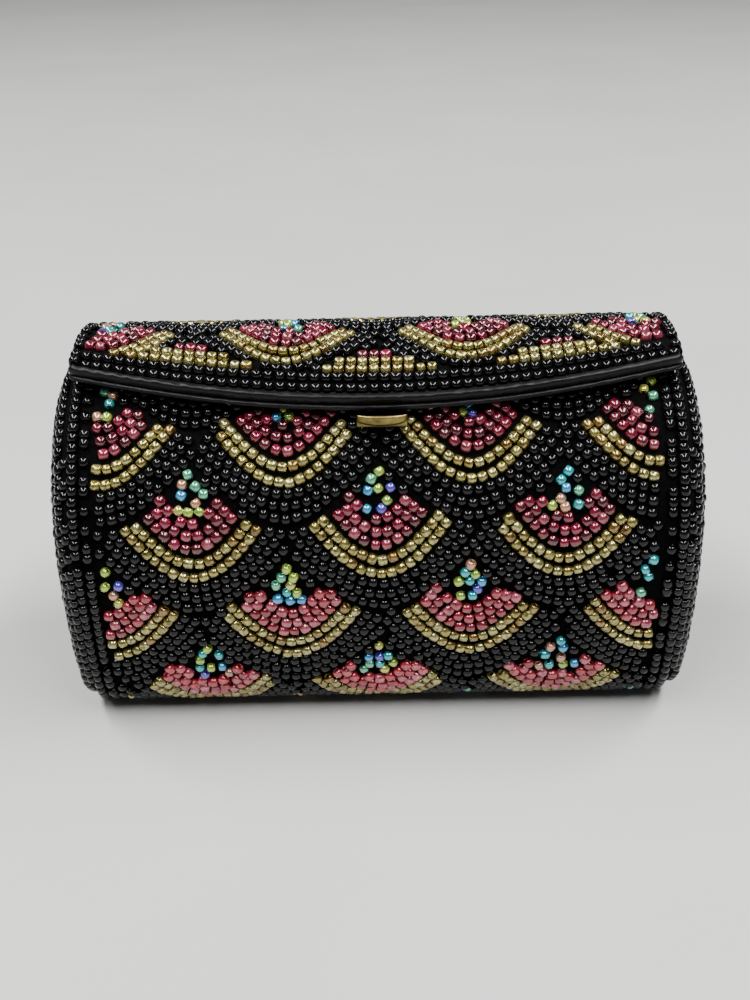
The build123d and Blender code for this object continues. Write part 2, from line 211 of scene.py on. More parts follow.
class Shader:
    """A material with one Principled shader, and short ways to add nodes to it."""

    def __init__(self, name, **sockets):
        self.material = bpy.data.materials.new(name)
        self.material.use_nodes = True
        self.tree = self.material.node_tree
        self.bsdf = self.tree.nodes["Principled BSDF"]
        for key, value in sockets.items():
            self.bsdf.inputs[key.replace("_", " ")].default_value = value

    def node(self, kind, **values):
        made = self.tree.nodes.new(kind)
        for key, value in values.items():
            setattr(made, key, value)
        return made

    def link(self, out, into):
        self.tree.links.new(out, into)

    def coordinates(self, scale=(1, 1, 1)):
        """Object coordinates in millimetres, stretched by scale."""
        where = self.node("ShaderNodeTexCoord")
        mapping = self.node("ShaderNodeMapping")
        mapping.inputs["Scale"].default_value = [s / MM for s in scale]
        self.link(where.outputs["Object"], mapping.inputs["Vector"])
        return mapping.outputs["Vector"]

    def noise(self, size, scale=(1, 1, 1), detail=3.0):
        made = self.node("ShaderNodeTexNoise")
        made.inputs["Scale"].default_value = 1.0 / size
        made.inputs["Detail"].default_value = detail
        self.link(self.coordinates(scale), made.inputs["Vector"])
        return made.outputs["Fac"]

    def ramp(self, fac, stops, interpolation="LINEAR"):
        made = self.node("ShaderNodeValToRGB")
        made.color_ramp.interpolation = interpolation
        elements = made.color_ramp.elements
        while len(elements) < len(stops):
            elements.new(0.5)
        for element, (place, colour) in zip(elements, stops):
            element.position = place
            element.color = (*colour, 1.0)
        self.link(fac, made.inputs["Fac"])
        return made.outputs["Color"]

    def spread(self, fac, low, high):
        made = self.node("ShaderNodeMapRange")
        made.inputs["To Min"].default_value = low
        made.inputs["To Max"].default_value = high
        self.link(fac, made.inputs["Value"])
        return made.outputs["Result"]

    def tint(self):
        """The bead's own random numbers, one for each of red, green and blue."""
        read = self.node("ShaderNodeAttribute", attribute_name="tint")
        parts = self.node("ShaderNodeSeparateColor")
        self.link(read.outputs["Color"], parts.inputs["Color"])
        return parts.outputs

    def multiply(self, colour, by):
        made = self.node("ShaderNodeMix", data_type="RGBA", blend_type="MULTIPLY")
        made.inputs["Factor"].default_value = 1.0
        self.link(colour, made.inputs["A"])
        self.link(by, made.inputs["B"])
        return made.outputs["Result"]

    def bump(self, height, strength, distance):
        made = self.node("ShaderNodeBump")
        made.inputs["Strength"].default_value = strength
        made.inputs["Distance"].default_value = distance * MM
        self.link(height, made.inputs["Height"])
        self.link(made.outputs["Normal"], self.bsdf.inputs["Normal"])

    def colour(self, socket):
        self.link(socket, self.bsdf.inputs["Base Color"])

    def roughness(self, socket):
        self.link(socket, self.bsdf.inputs["Roughness"])


def black_bead_material():
    """Opaque black glass, each bead with its own polish."""
    s = Shader("black_glass", IOR=1.35)
    own = s.tint()
    s.colour(s.ramp(own["Red"], [(0.0, (0.0006, 0.0006, 0.0007)), (1.0, (0.003, 0.003, 0.0035))]))
    s.roughness(s.spread(own["Green"], 0.03, 0.1))
    s.bump(s.noise(0.7), 0.12, 0.03)
    return s.material


def gold_bead_material():
    """Amber glass over a silvered hole."""
    s = Shader("gold_glass", Metallic=0.8, IOR=1.55, Coat_Weight=1.0, Coat_Roughness=0.04)
    own = s.tint()
    stops = [
        (0.0, (0.26, 0.15, 0.03)),
        (0.25, (0.32, 0.27, 0.06)),
        (0.7, (0.40, 0.36, 0.11)),
        (1.0, (0.46, 0.43, 0.18)),
    ]
    streaks = s.ramp(s.noise(0.5), [(0.34, (0.22, 0.17, 0.08)), (0.6, (1.0, 1.0, 1.0))])
    s.colour(s.multiply(s.ramp(own["Red"], stops), streaks))
    s.roughness(s.spread(own["Green"], 0.14, 0.3))
    s.bump(s.noise(0.45), 0.4, 0.1)
    return s.material


def red_bead_material():
    """Raspberry glass with a pale lustre, turning to coral where the bead's third number says so."""
    s = Shader("red_glass", Metallic=0.4, IOR=1.6, Coat_Weight=1.0, Coat_Roughness=0.05)
    own = s.tint()
    raspberry = [
        (0.0, (0.06, 0.0008, 0.006)),
        (0.4, (0.13, 0.0015, 0.014)),
        (0.8, (0.21, 0.004, 0.03)),
        (1.0, (0.28, 0.05, 0.075)),
    ]
    coral = [(0.0, (0.38, 0.012, 0.03)), (0.5, (0.58, 0.05, 0.075)), (1.0, (0.64, 0.20, 0.25))]
    blend = s.node("ShaderNodeMix", data_type="RGBA")
    s.link(own["Blue"], blend.inputs["Factor"])
    s.link(s.ramp(own["Red"], raspberry), blend.inputs["A"])
    s.link(s.ramp(own["Red"], coral), blend.inputs["B"])
    streaks = s.ramp(s.noise(0.6), [(0.33, (0.35, 0.3, 0.3)), (0.6, (1.0, 1.0, 1.0))])
    s.colour(s.multiply(blend.outputs["Result"], streaks))
    s.roughness(s.spread(own["Green"], 0.1, 0.28))
    s.bump(s.noise(0.6), 0.25, 0.06)
    return s.material


def glow_bead_material():
    """Iridescent glass: each bead has one of a few oil-film colours."""
    s = Shader("iridescent_glass", Metallic=0.6, IOR=1.6, Coat_Weight=1.0, Coat_Roughness=0.04)
    own = s.tint()
    stops = [
        (0.0, (0.03, 0.40, 0.42)),
        (0.18, (0.05, 0.30, 0.55)),
        (0.32, (0.36, 0.50, 0.07)),
        (0.52, (0.52, 0.50, 0.10)),
        (0.66, (0.12, 0.44, 0.26)),
        (0.8, (0.10, 0.08, 0.48)),
        (0.88, (0.50, 0.26, 0.16)),
    ]
    film = s.ramp(s.noise(0.7), [(0.3, (0.35, 0.5, 0.8)), (0.55, (1.0, 1.0, 0.9)), (0.75, (1.0, 0.7, 0.65))])
    s.colour(s.multiply(s.ramp(own["Red"], stops, "CONSTANT"), film))
    s.roughness(s.spread(own["Green"], 0.1, 0.24))
    s.bump(s.noise(0.6), 0.2, 0.05)
    return s.material


def cloth_material():
    """Dull black cloth under the beads, with a fine plain weave."""
    s = Shader("backing_cloth", Roughness=0.9, Specular_IOR_Level=0.04)
    s.colour(s.ramp(s.noise(0.5), [(0.3, (0.0004, 0.0004, 0.0005)), (0.7, (0.0018, 0.0018, 0.002))]))
    s.bump(s.noise(0.22), 0.6, 0.08)
    return s.material


def satin_material(name, low, high, roughness, across=(0.25, 2.6, 2.6)):
    """Satin: long fine threads along X, soft sheen and small creases."""
    s = Shader(name, Sheen_Weight=0.03, Sheen_Roughness=0.35, Anisotropic=0.4, Specular_IOR_Level=0.14)
    threads = s.noise(0.35, across, 2.0)
    s.colour(s.ramp(threads, [(0.3, low), (0.7, high)]))
    s.roughness(s.spread(s.noise(2.4), roughness - 0.07, roughness + 0.1))
    s.bump(s.noise(1.5, (0.35, 1.0, 1.0), 5.0), 0.45, 0.22)
    return s.material


def brass_material():
    """Antique brass with random darker and brighter patches of tarnish."""
    s = Shader("antique_brass", Metallic=1.0)
    tarnish = s.noise(1.6, detail=6.0)
    stops = [(0.25, (0.07, 0.055, 0.02)), (0.5, (0.18, 0.14, 0.045)), (0.75, (0.30, 0.24, 0.085))]
    s.colour(s.ramp(tarnish, stops))
    s.roughness(s.spread(s.noise(0.8, (0.3, 1.0, 1.0)), 0.22, 0.48))
    s.bump(s.noise(0.3, (0.2, 1.0, 1.0)), 0.2, 0.03)
    return s.material


def board_material():
    """Black pressed board with short fibres."""
    s = Shader("pressed_board", Roughness=0.85, Specular_IOR_Level=0.2)
    s.colour(s.ramp(s.noise(0.9, (0.3, 1, 1)), [(0.3, (0.010, 0.009, 0.008)), (0.7, (0.028, 0.025, 0.022))]))
    s.bump(s.noise(0.4), 0.4, 0.05)
    return s.material


def floor_material():
    """Plain pale floor."""
    s = Shader("pale_floor", Roughness=0.55, Specular_IOR_Level=0.3)
    s.colour(s.ramp(s.noise(90.0), [(0.3, (0.41, 0.407, 0.397)), (0.7, (0.44, 0.437, 0.427))]))
    return s.material


# ---------------------------------------------------------------- beads


def bead_template(squareness):
    """One bead with its hole along X: rings of points round it, from a closed profile of (x, radius)."""
    end = 0.80 + 0.04 * squareness
    shoulder = 0.46 + 0.2 * squareness
    rim = 0.62 + 0.1 * squareness
    profile = [(0.5, 0.3), (end, 0.42), (end * 0.92, rim + 0.06), (shoulder, 0.88), (0.0, BEAD_RADIUS)]
    profile += [(-x, r) for x, r in reversed(profile[:-1])]
    angles = np.arange(BEAD_SEGMENTS) * 2 * math.pi / BEAD_SEGMENTS
    rows = [
        np.stack([np.full(BEAD_SEGMENTS, x), r * np.cos(angles), r * np.sin(angles)], -1) for x, r in profile
    ]
    count = len(profile)
    faces = []
    for i in range(count):
        for j in range(BEAD_SEGMENTS):
            a, b = i * BEAD_SEGMENTS, (i + 1) % count * BEAD_SEGMENTS
            k = (j + 1) % BEAD_SEGMENTS
            faces.append([a + j, b + j, b + k, a + k])
    return np.concatenate(rows), np.array(faces)[:, ::-1]


SQUARENESS = {"black": 0.0, "gold": 0.55, "red": 0.25, "glow": 0.1}
TEMPLATES = {kind: bead_template(squareness) for kind, squareness in SQUARENESS.items()}
SIZES = {"black": 0.98, "gold": 0.98, "red": 1.04, "glow": 0.92}


class Beadwork:
    """The beads of one panel group, kept apart from each other."""

    def __init__(self):
        self.beads = []
        self.cells = {}

    def near(self, p, gap):
        i, j, k = (int(math.floor(c / 2.0)) for c in p)
        for a in (i - 1, i, i + 1):
            for b in (j - 1, j, j + 1):
                for c in (k - 1, k, k + 1):
                    for q in self.cells.get((a, b, c), ()):
                        if (p[0] - q[0]) ** 2 + (p[1] - q[1]) ** 2 + (p[2] - q[2]) ** 2 < gap * gap:
                            return True
        return False

    def add(self, p, axis, normal, kind, group, gap=CLOSEST, shade=0.0):
        """Adds a bead if there is room. axis is the way its thread runs, shade its own share of coral."""
        if self.near(p, gap):
            return False
        self.cells.setdefault(tuple(int(math.floor(c / 2.0)) for c in p), []).append(p)
        self.beads.append((p, axis, normal, kind, group, shade))
        return True

    def build(self, body):
        """One object for each group and kind of bead."""
        for key in sorted({(b[4], b[3]) for b in self.beads}):
            group, kind = key
            mine = [b for b in self.beads if (b[4], b[3]) == key]
            template, faces = TEMPLATES[kind]
            n = len(mine)
            place = np.array([b[0] for b in mine])
            axis = np.array([b[1] for b in mine]) + rng.normal(0, 0.09, (n, 3))
            normal = np.array([b[2] for b in mine])
            axis /= np.linalg.norm(axis, axis=1, keepdims=True)
            normal -= axis * np.sum(axis * normal, axis=1, keepdims=True)
            normal /= np.linalg.norm(normal, axis=1, keepdims=True)
            side = np.cross(normal, axis)
            size = SIZES[kind] * rng.normal(1.0, 0.03, n).clip(0.92, 1.06)
            length = rng.normal(1.0, 0.05, n).clip(0.88, 1.08)
            place = place + normal * rng.normal(0.0, 0.05, n)[:, None]
            turn = np.stack([axis * length[:, None], side, normal], -1) * size[:, None, None]
            co = np.einsum("nij,vj->nvi", turn, template) + place[:, None, :]
            quads = faces[None] + (np.arange(n) * len(template))[:, None, None]
            tint = np.concatenate([rng.random((n, 2)), np.array([[b[5], 1.0] for b in mine])], axis=1)
            tint = np.repeat(tint, len(template), axis=0)
            name = f"{group}_{kind}_beads"
            obj = make_object(name, co.reshape(-1, 3), quads.reshape(-1, 4), body, tint)
            obj.data.materials.append(BEAD_MATERIALS[kind])


def bow(x, bottom, half, drop):
    """Where a row lies at x across its scale: a rounded V that rises by drop at half its width."""
    return bottom - drop * (np.sqrt(1 + (x / half) ** 2) - 1) / (math.sqrt(2) - 1)


def black_bow(index):
    """A black row between the outer gold row and the scale's edge: the first lies against the gold."""

    def shape(x):
        gold, edge = bow(x, *GOLD_ROWS[0]), bow(x, *SCALE_EDGE)
        slope = (bow(x + 0.1, *GOLD_ROWS[0]) - gold) / 0.1
        first = BLACK_FIRST * math.sqrt(1 + slope * slope)
        last = BLACK_LAST * (edge - gold)
        return gold + first + max(last - first, 0.0) * index / (BLACK_THREADS - 1)

    return shape


class Panel:
    """A beaded panel rolled round an outline: x along the purse, t the way the scales point."""

    def __init__(self, work, outline, first_centre, half, t_low, t_high, group, allowed=None):
        self.work, self.outline, self.half = work, outline, half
        self.first, self.t_low, self.t_high = first_centre, t_low, t_high
        self.group = group
        self.allowed = allowed or (lambda x, t: True)
        self.scales = self.centres()

    def centres(self):
        """Every scale's centre, from the one on top to the lowest: (x, t, row)."""
        first_row = int(math.floor((self.t_low - self.first) / SCALE_ROWS)) - 1
        last_row = int(math.ceil((self.t_high - self.first) / SCALE_ROWS)) + 1
        found = []
        for row in range(first_row, last_row + 1):
            shift = 0.5 if row % 2 == 0 else 0.0
            for k in range(-3, 4):
                x = (k + shift) * SCALE_PITCH + rng.normal(0, 0.25)
                found.append((x, self.first + row * SCALE_ROWS + rng.normal(0, 0.2), row))
        return found

    def covered(self, x, t, row):
        """True if a scale of an earlier row lies over this place."""
        for sx, st, other in self.scales:
            near = row - 3 < other < row and abs(x - sx) < SCALE_PITCH * 0.53
            if near and t < st + bow(x - sx, *SCALE_EDGE):
                return True
        return False

    def put(self, x, t, heading, kind, gap=CLOSEST, border=False, shade=0.0, sink=0.0):
        """A bead at (x, t), sunk by sink. Its thread runs at heading from +x towards +t."""
        edge = self.half - (0.0 if border else ROW_SPACING * 0.97)
        if abs(x) > edge or not self.t_low <= t <= self.t_high or not self.allowed(x, t):
            return False
        (y, z), n, d = self.outline.at(t, BEAD_RADIUS + sink)
        c, s = math.cos(heading), math.sin(heading)
        axis = (c, s * d[0], s * d[1])
        group = self.group(t) if callable(self.group) else self.group
        return self.work.add((x, y, z), axis, (0.0, n[0], n[1]), kind, group, gap, shade)

    def thread(self, scale, shape, half, kind, shade=0.0):
        """One thread of beads across a scale, from the middle outwards."""
        sx, st, row = scale
        pitch = PITCHES[kind]
        start = rng.uniform(-0.5, 0.5) * pitch
        for way in (1, -1):
            dx = start if way > 0 else start - pitch
            while abs(dx) < half:
                slope = float(shape(dx + 0.05) - shape(dx - 0.05)) / 0.1
                x, t = sx + dx, st + float(shape(dx)) + rng.normal(0, 0.06)
                step = pitch * rng.normal(1.0, 0.025)
                if not self.covered(x, t, row) and not self.put(x, t, math.atan(slope), kind, shade=shade):
                    step = 0.3
                dx += way * step / math.sqrt(1 + slope * slope)

    def border(self):
        """One straight thread inside each seam."""
        for side in (-1, 1):
            t = self.t_low + 0.3
            while t < self.t_high:
                self.put(side * (self.half - 0.05), t, math.pi / 2, "black", border=True)
                t += SEAM_PITCH * rng.normal(1.0, 0.03)

    def glow(self, scale, low):
        """Iridescent beads in the scale's point, down to where its red rows begin."""
        sx, st, row = scale
        for k in range(int((GLOW_TOP + low) / GLOW_STEP) + 1):
            t = st - GLOW_TOP + k * GLOW_STEP
            count = 1 + (k % 3 > 0) + (k > 1) * (row >= 1) + (k > 2) * (row >= 3)
            for i in range(count):
                x = sx + (i - (count - 1) / 2) * 1.85 + rng.normal(0, 0.3)
                if not self.covered(x, t - 0.6, row):
                    self.put(x, t + rng.normal(0, 0.2), rng.uniform(0, math.pi), "glow", 1.45)

    def fill(self):
        """Black beads wherever one still fits round the scales."""
        for t in np.arange(self.t_low, self.t_high, FILL_STEP):
            for x in np.arange(-self.half, self.half, FILL_STEP):
                x1, t1 = x + rng.uniform(-0.15, 0.15), t + rng.uniform(-0.15, 0.15)
                for sx, st, row in self.scales:
                    dx = x1 - sx
                    if abs(dx) < SCALE_PITCH * 0.5 and t1 < st + bow(dx, *SCALE_EDGE):
                        if t1 - st > bow(dx, *GOLD_ROWS[0]) + 1.1:
                            self.put(x1, t1, math.atan2(-dx, SCALE_PITCH / 2), "black", 1.7)
                        elif t1 - st < abs(dx) * 0.77 - GLOW_TOP + 0.5:
                            self.put(x1, t1, 0.0, "black", 1.74)
                        break

    def scales_work(self):
        for scale in self.scales:
            row = scale[2]
            shade = 0.0 if row < 2 else min(1.0, 0.45 * (row - 1)) * rng.uniform(0.6, 1.0)
            for shape in GOLD_ROWS:
                self.thread(scale, lambda dx: bow(dx, *shape), shape[1], "gold")
            reds = CLOSE_RED_ROWS if row % 4 >= 2 else RED_ROWS
            self.glow(scale, reds[-1][0] - 1.5)
            for shape in reds:
                self.thread(scale, lambda dx: bow(dx, *shape), shape[1] + 0.1, "red", shade)
            for index in range(BLACK_THREADS):
                self.thread(scale, black_bow(index), SCALE_PITCH * 0.52, "black")


def strip_group(t):
    """The strip's pieces: front, underside and back."""
    third = float(np.interp(t, (0, strip.length), (0, 3)))
    return ("front", "underside", "back")[min(int(third), 2)]


def bead_strip(work):
    panel = Panel(work, strip, FRONT_FIRST_CENTRE, HALF - 1.0, 0.9, strip.length - 0.9, strip_group)
    panel.border()
    panel.scales_work()
    panel.fill()


# Rows that follow the lid's lip: kind, distance behind it, how far sunk, and how far each side of a scale's
# middle they reach
LIP_ROWS = (
    ("black", 0.5, 0.55, None),
    ("black", 2.35, 0.05, None),
    ("gold", 4.2, 0.0, 9.6),
    ("gold", 6.0, 0.0, 6.2),
    ("red", 7.8, 0.0, 2.9),
)


def bead_lid(work):
    """The lid's rows follow the lip first, with short straight gold rows between the scales above."""
    half = LID_HALF - 0.9

    def allowed(x, t):
        return t < lip_at(x) - 0.45

    panel = Panel(work, lid, lid.length - LID_FIRST_CENTRE, half, 0.95, lid.length, "lid", allowed)
    panel.border()
    for index, (kind, behind, sink, reach) in enumerate(LIP_ROWS):
        x = -half + (ROW_SPACING if index else 0.0)
        while x < half:
            t = float(lip_at(x)) - behind
            heading = math.atan(float(lip_at(x + 0.5) - lip_at(x - 0.5)))
            aside = min(abs(x - k * SCALE_PITCH) for k in (-1, 0, 1))
            if reach is None or aside < reach:
                panel.put(x, t, heading, kind, border=index == 0, sink=sink)
            x += LIP_PITCH * rng.normal(1.0, 0.02)
    panel.scales_work()
    panel.fill()


def end_outline():
    """The end panel's whole outline, closed and evenly divided, clockwise from the rim when seen from +X."""
    ring = hull(node_points("end_bead_cover_right")[:, 1:])
    ring = np.concatenate([ring, ring[:1]])
    loop = Outline(ring)
    t = np.linspace(0, loop.length, 721)[:-1]
    points = loop.raw(t)
    ahead, behind = np.roll(points, -4, 0), np.roll(points, 4, 0)
    d = (ahead - behind) / np.linalg.norm(ahead - behind, axis=1, keepdims=True)
    return points, np.stack([d[:, 1], -d[:, 0]], -1)


END_POINTS, END_NORMALS = end_outline()
END_SPREAD = 22.0
END_POWER = 3.0
END_FILL_FROM = 1.6
END_FILL_GAP = 1.6


def end_height(u):
    """How far the end panel stands out at a distance u in from its outline."""
    v = np.clip(np.asarray(u, float) / END_SPREAD, 0, 1)
    return END_BULGE * (1 - (1 - v) ** END_POWER) ** (1 / END_POWER)


def inset_depth(p):
    """How far a point of the section is inside the end's outline."""
    return float(np.min(np.linalg.norm(END_POINTS - p, axis=1)))


def clear_of_lid(x, y, z):
    """False where a bead would touch the lid, its hinge side or what swings there."""
    if abs(x) > LID_HALF + 1.0:
        return True
    if math.hypot(y - HINGE[0], z - HINGE[1]) < 4.3:
        return False
    t = np.linspace(0, lid.length, 120)
    apart = np.linalg.norm(lid.raw(t) - (y, z), axis=1)
    return apart.min() > LID_THICKNESS + BEAD_RADIUS + 0.15 or apart.argmin() == 119


def bead_end(work, side, group):
    """Rings of beads from the seam inward over the bulging end."""
    step = 0.02
    fine = np.arange(0, END_SPREAD, step)
    arc = np.concatenate([[0], np.cumsum(np.hypot(step, np.diff(end_height(fine))))])
    ring = 0
    while True:
        along = 0.75 + ring * ROW_SPACING
        if along > arc[-1]:
            break
        u = float(np.interp(along, arc, fine))
        points = END_POINTS - END_NORMALS * u
        slope = (end_height(u + 0.05) - end_height(max(u - 0.05, 0))) / (0.1 if u > 0.05 else u + 0.05)
        lean = math.atan(slope)
        pitch = SEAM_PITCH
        travelled = rng.uniform(0, pitch)
        for i in range(len(points)):
            gone = np.linalg.norm(points[i] - points[i - 1])
            travelled += gone
            if travelled < pitch:
                continue
            if inset_depth(points[i]) < u - 0.15:
                continue
            n2 = END_NORMALS[i]
            normal = np.array([side * math.cos(lean), n2[0] * math.sin(lean), n2[1] * math.sin(lean)])
            top = np.array([side * (HALF + float(end_height(u))), points[i][0], points[i][1]])
            p = top - normal * BEAD_RADIUS
            if not clear_of_lid(*p):
                continue
            axis = (0.0, -n2[1], n2[0])
            if work.add(tuple(p), axis, tuple(normal), "black", group):
                travelled = 0.0
        ring += 1
    low, high = END_POINTS.min(0), END_POINTS.max(0)
    for y in np.arange(low[0], high[0], FILL_STEP):
        for z in np.arange(low[1], high[1], FILL_STEP):
            u = inset_depth((y, z))
            if u < END_FILL_FROM or not inside_end(y, z):
                continue
            p = (side * (HALF + float(end_height(u)) - BEAD_RADIUS), y, z)
            if clear_of_lid(*p):
                axis = (0.0, rng.normal(), rng.normal() + 0.1)
                work.add(p, axis, (side, 0.0, 0.0), "black", group, END_FILL_GAP)


def inside_end(y, z):
    d = END_POINTS - (y, z)
    i = int(np.argmin(np.linalg.norm(d, axis=1)))
    return float(np.dot(d[i], END_NORMALS[i])) > 0


BEAD_MATERIALS = {
    "black": black_bead_material(),
    "gold": gold_bead_material(),
    "red": red_bead_material(),
    "glow": glow_bead_material(),
}

body_work = Beadwork()
bead_strip(body_work)
body_work.build("body")
for side, word in ((-1, "left"), (1, "right")):
    end_work = Beadwork()
    end_work.cells = {k: list(v) for k, v in body_work.cells.items()}
    bead_end(end_work, side, f"end_{word}")
    end_work.build("body")
lid_work = Beadwork()
bead_lid(lid_work)
lid_work.build("lid")


# ---------------------------------------------------------------- cloth under the beads


def thin_solid(name, point, across, along, body):
    """A closed sheet: point(u, v, layer) gives a vertex in millimetres, layer 0 outside and 1 inside."""
    nu, nv = len(across), len(along)
    verts = np.array([point(u, v, layer) for layer in (0, 1) for v in along for u in across])
    layer = nu * nv
    faces = []
    for i in range(nv - 1):
        for j in range(nu - 1):
            a = i * nu + j
            faces.append((a, a + nu, a + nu + 1, a + 1))
            faces.append((layer + a, layer + a + 1, layer + a + nu + 1, layer + a + nu))
    edge = [(0, j, 0, j + 1) for j in range(nu - 1)] + [(i, nu - 1, i + 1, nu - 1) for i in range(nv - 1)]
    edge += [(nv - 1, j + 1, nv - 1, j) for j in range(nu - 1)] + [(i + 1, 0, i, 0) for i in range(nv - 1)]
    for i, j, k, m in edge:
        a, b = i * nu + j, k * nu + m
        faces.append((a, b, layer + b, layer + a))
    return make_object(name, verts, np.array(faces), body)


def tube(name, rings, body):
    """A closed solid through rings of points, with a fan of triangles at each end."""
    rings = np.asarray(rings)
    n, k = rings.shape[:2]
    verts = [tuple(c * MM for c in p) for ring in rings for p in ring]
    faces = [
        (i * k + j, i * k + (j + 1) % k, (i + 1) * k + (j + 1) % k, (i + 1) * k + j)
        for i in range(n - 1)
        for j in range(k)
    ]
    for end, way in ((0, 1), (n - 1, -1)):
        centre = len(verts)
        verts.append(tuple(c * MM for c in rings[end].mean(0)))
        for j in range(k):
            pair = (end * k + (j + 1) % k, end * k + j)
            faces.append((centre, *pair) if way > 0 else (centre, *pair[::-1]))
    mesh = bpy.data.meshes.new(name)
    mesh.from_pydata(verts, [], faces)
    mesh.polygons.foreach_set("use_smooth", np.ones(len(faces), bool))
    mesh.update()
    bm = bmesh.new()
    bm.from_mesh(mesh)
    bmesh.ops.recalc_face_normals(bm, faces=bm.faces)
    bm.to_mesh(mesh)
    bm.free()
    obj = bpy.data.objects.new(name, mesh)
    bpy.context.scene.collection.objects.link(obj)
    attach(obj, body)
    return obj


def finish_piece(obj, material, slot, *nodes):
    obj.data.materials.append(material)
    if nodes:
        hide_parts(*nodes)


class Creases:
    """Soft creases: a few seeded waves added together, smooth and the same each run."""

    def __init__(self, seed, lengths, turn=0.6):
        own = np.random.default_rng(seed)
        self.waves = [
            (math.cos(a) / length, math.sin(a) / length, own.uniform(0, 2 * math.pi))
            for length in lengths
            for a in own.normal(0, turn, 3)
        ]

    def at(self, x, t):
        total = sum(math.sin(2 * math.pi * (fx * x + ft * t) + phase) for fx, ft, phase in self.waves)
        return total / len(self.waves)


cloth = cloth_material()
black_satin = satin_material("black_satin", (0.001, 0.001, 0.0012), (0.005, 0.005, 0.0055), 0.36)
lining_satin = satin_material("lining_satin", (0.006, 0.006, 0.007), (0.018, 0.018, 0.02), 0.4)
brass = brass_material()
pressed_board = board_material()


# Cloth under the strip's beads and the lid's
def strip_cloth_point(u, v, layer):
    (y, z), n, d = strip.at(v, (CLOTH_TOP, BEAD_LAYER)[layer])
    return (u, y, z)


strip_across = np.linspace(-HALF, HALF, 60)
strip_along = np.linspace(0.1, strip.length - 0.1, 180)
strip_cloth = thin_solid("strip_cloth", strip_cloth_point, strip_across, strip_along, "body")
finish_piece(strip_cloth, cloth, "backing", "body_bead_cover")


def lid_cloth_point(u, v, layer):
    (y, z), n, d = lid.at(v * (float(lip_at(u)) - 0.15), (CLOTH_TOP, BEAD_LAYER)[layer])
    return (u, y, z)


lid_across = np.linspace(-LID_HALF, LID_HALF, 60)
lid_cloth = thin_solid("lid_cloth", lid_cloth_point, lid_across, np.linspace(0.0, 1.0, 60), "lid")
finish_piece(lid_cloth, cloth, "backing", "lid_bead_cover")


# Padded ends under their beads: a dome that follows the panel's bulge
def end_cushion(side, word):
    centre = END_POINTS.mean(0)
    pad_low, pad_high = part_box(f"end_pad_{word}")
    back = min(abs(pad_low.x), abs(pad_high.x)) / MM + 0.02
    outline = END_POINTS[::5]
    soft = Creases(31 + side, (21.0, 13.0), 1.4)
    rings = []
    for k in (0.02, 0.5, 0.9, 0.955):
        rings.append([(side * back, *(centre + (p - centre) * k)) for p in outline])
    for k in (0.965, 0.955, 0.93, 0.9, 0.86, 0.8, 0.72, 0.62, 0.5, 0.36, 0.2, 0.02):
        ring = []
        for p in outline:
            q = centre + (p - centre) * k
            rise = float(end_height(inset_depth(q))) - CLOTH_TOP - 0.15 + 0.12 * soft.at(q[0], q[1])
            ring.append((side * (HALF + max(rise, 0.3)), *q))
        rings.append(ring)
    rings = np.array(rings)
    cushion = tube(f"end_cushion_{word}", rings, "body")
    for vertex in cushion.data.vertices:
        x, y, z = (c / MM for c in vertex.co)
        if math.hypot(y - HINGE[0], z - HINGE[1]) < 4.2 or not clear_of_lid(x, y, z):
            away = np.array((y, z)) - centre
            away = np.array((y, z)) - away / np.linalg.norm(away) * 5.2
            vertex.co.y, vertex.co.z = away * MM
    finish_piece(cushion, cloth, "backing", f"end_pad_{word}", f"end_bead_cover_{word}")


for side, word in ((-1, "left"), (1, "right")):
    end_cushion(side, word)


# Satin folded over the lid's lip, and the thin roll under it
def lip_ring(x, middle, half_tall, forward, half_deep, creases, amount, count=22):
    (y, z), n, d = lip_point(x, middle)
    over = max(0.0, abs(x) - (LID_HALF - 1.1)) / 1.1
    shrink = math.sqrt(max(0.05, 1 - over * over))
    ring = []
    for j in range(count):
        angle = 2 * math.pi * j / count
        push = 1 + amount * creases.at(x, angle * 2.2)
        up, out = math.cos(angle), math.sin(angle)
        up = math.copysign(abs(up) ** 0.8, up)
        i = -up * half_tall * push * shrink
        f = forward + out * half_deep * push * shrink
        ring.append((x, y - n[0] * i + d[0] * f, z - n[1] * i + d[1] * f))
    return ring


band_low, band_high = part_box("lid_edge_band")
BAND_DEPTH = LIP_Y - band_low.y / MM
lip_places = np.linspace(-LID_HALF, LID_HALF, 300)
band_creases = Creases(5, (17.0, 9.0, 4.0, 2.2), 0.5)
roll_creases = Creases(9, (11.0, 5.0, 2.5), 0.4)
band_section = (1.7, 0.86, BAND_DEPTH * 0.35, BAND_DEPTH * 0.72)
band = tube("lip_satin", [lip_ring(x, *band_section, band_creases, 0.2) for x in lip_places], "lid")
finish_piece(band, black_satin, "black_satin", "lid_edge_band")
roll_section = (2.92, 0.46, BAND_DEPTH * 0.4, BAND_DEPTH * 0.55)
roll = tube("lip_roll", [lip_ring(x, *roll_section, roll_creases, 0.16) for x in lip_places], "lid")
finish_piece(roll, black_satin, "black_satin", "lid_piping")


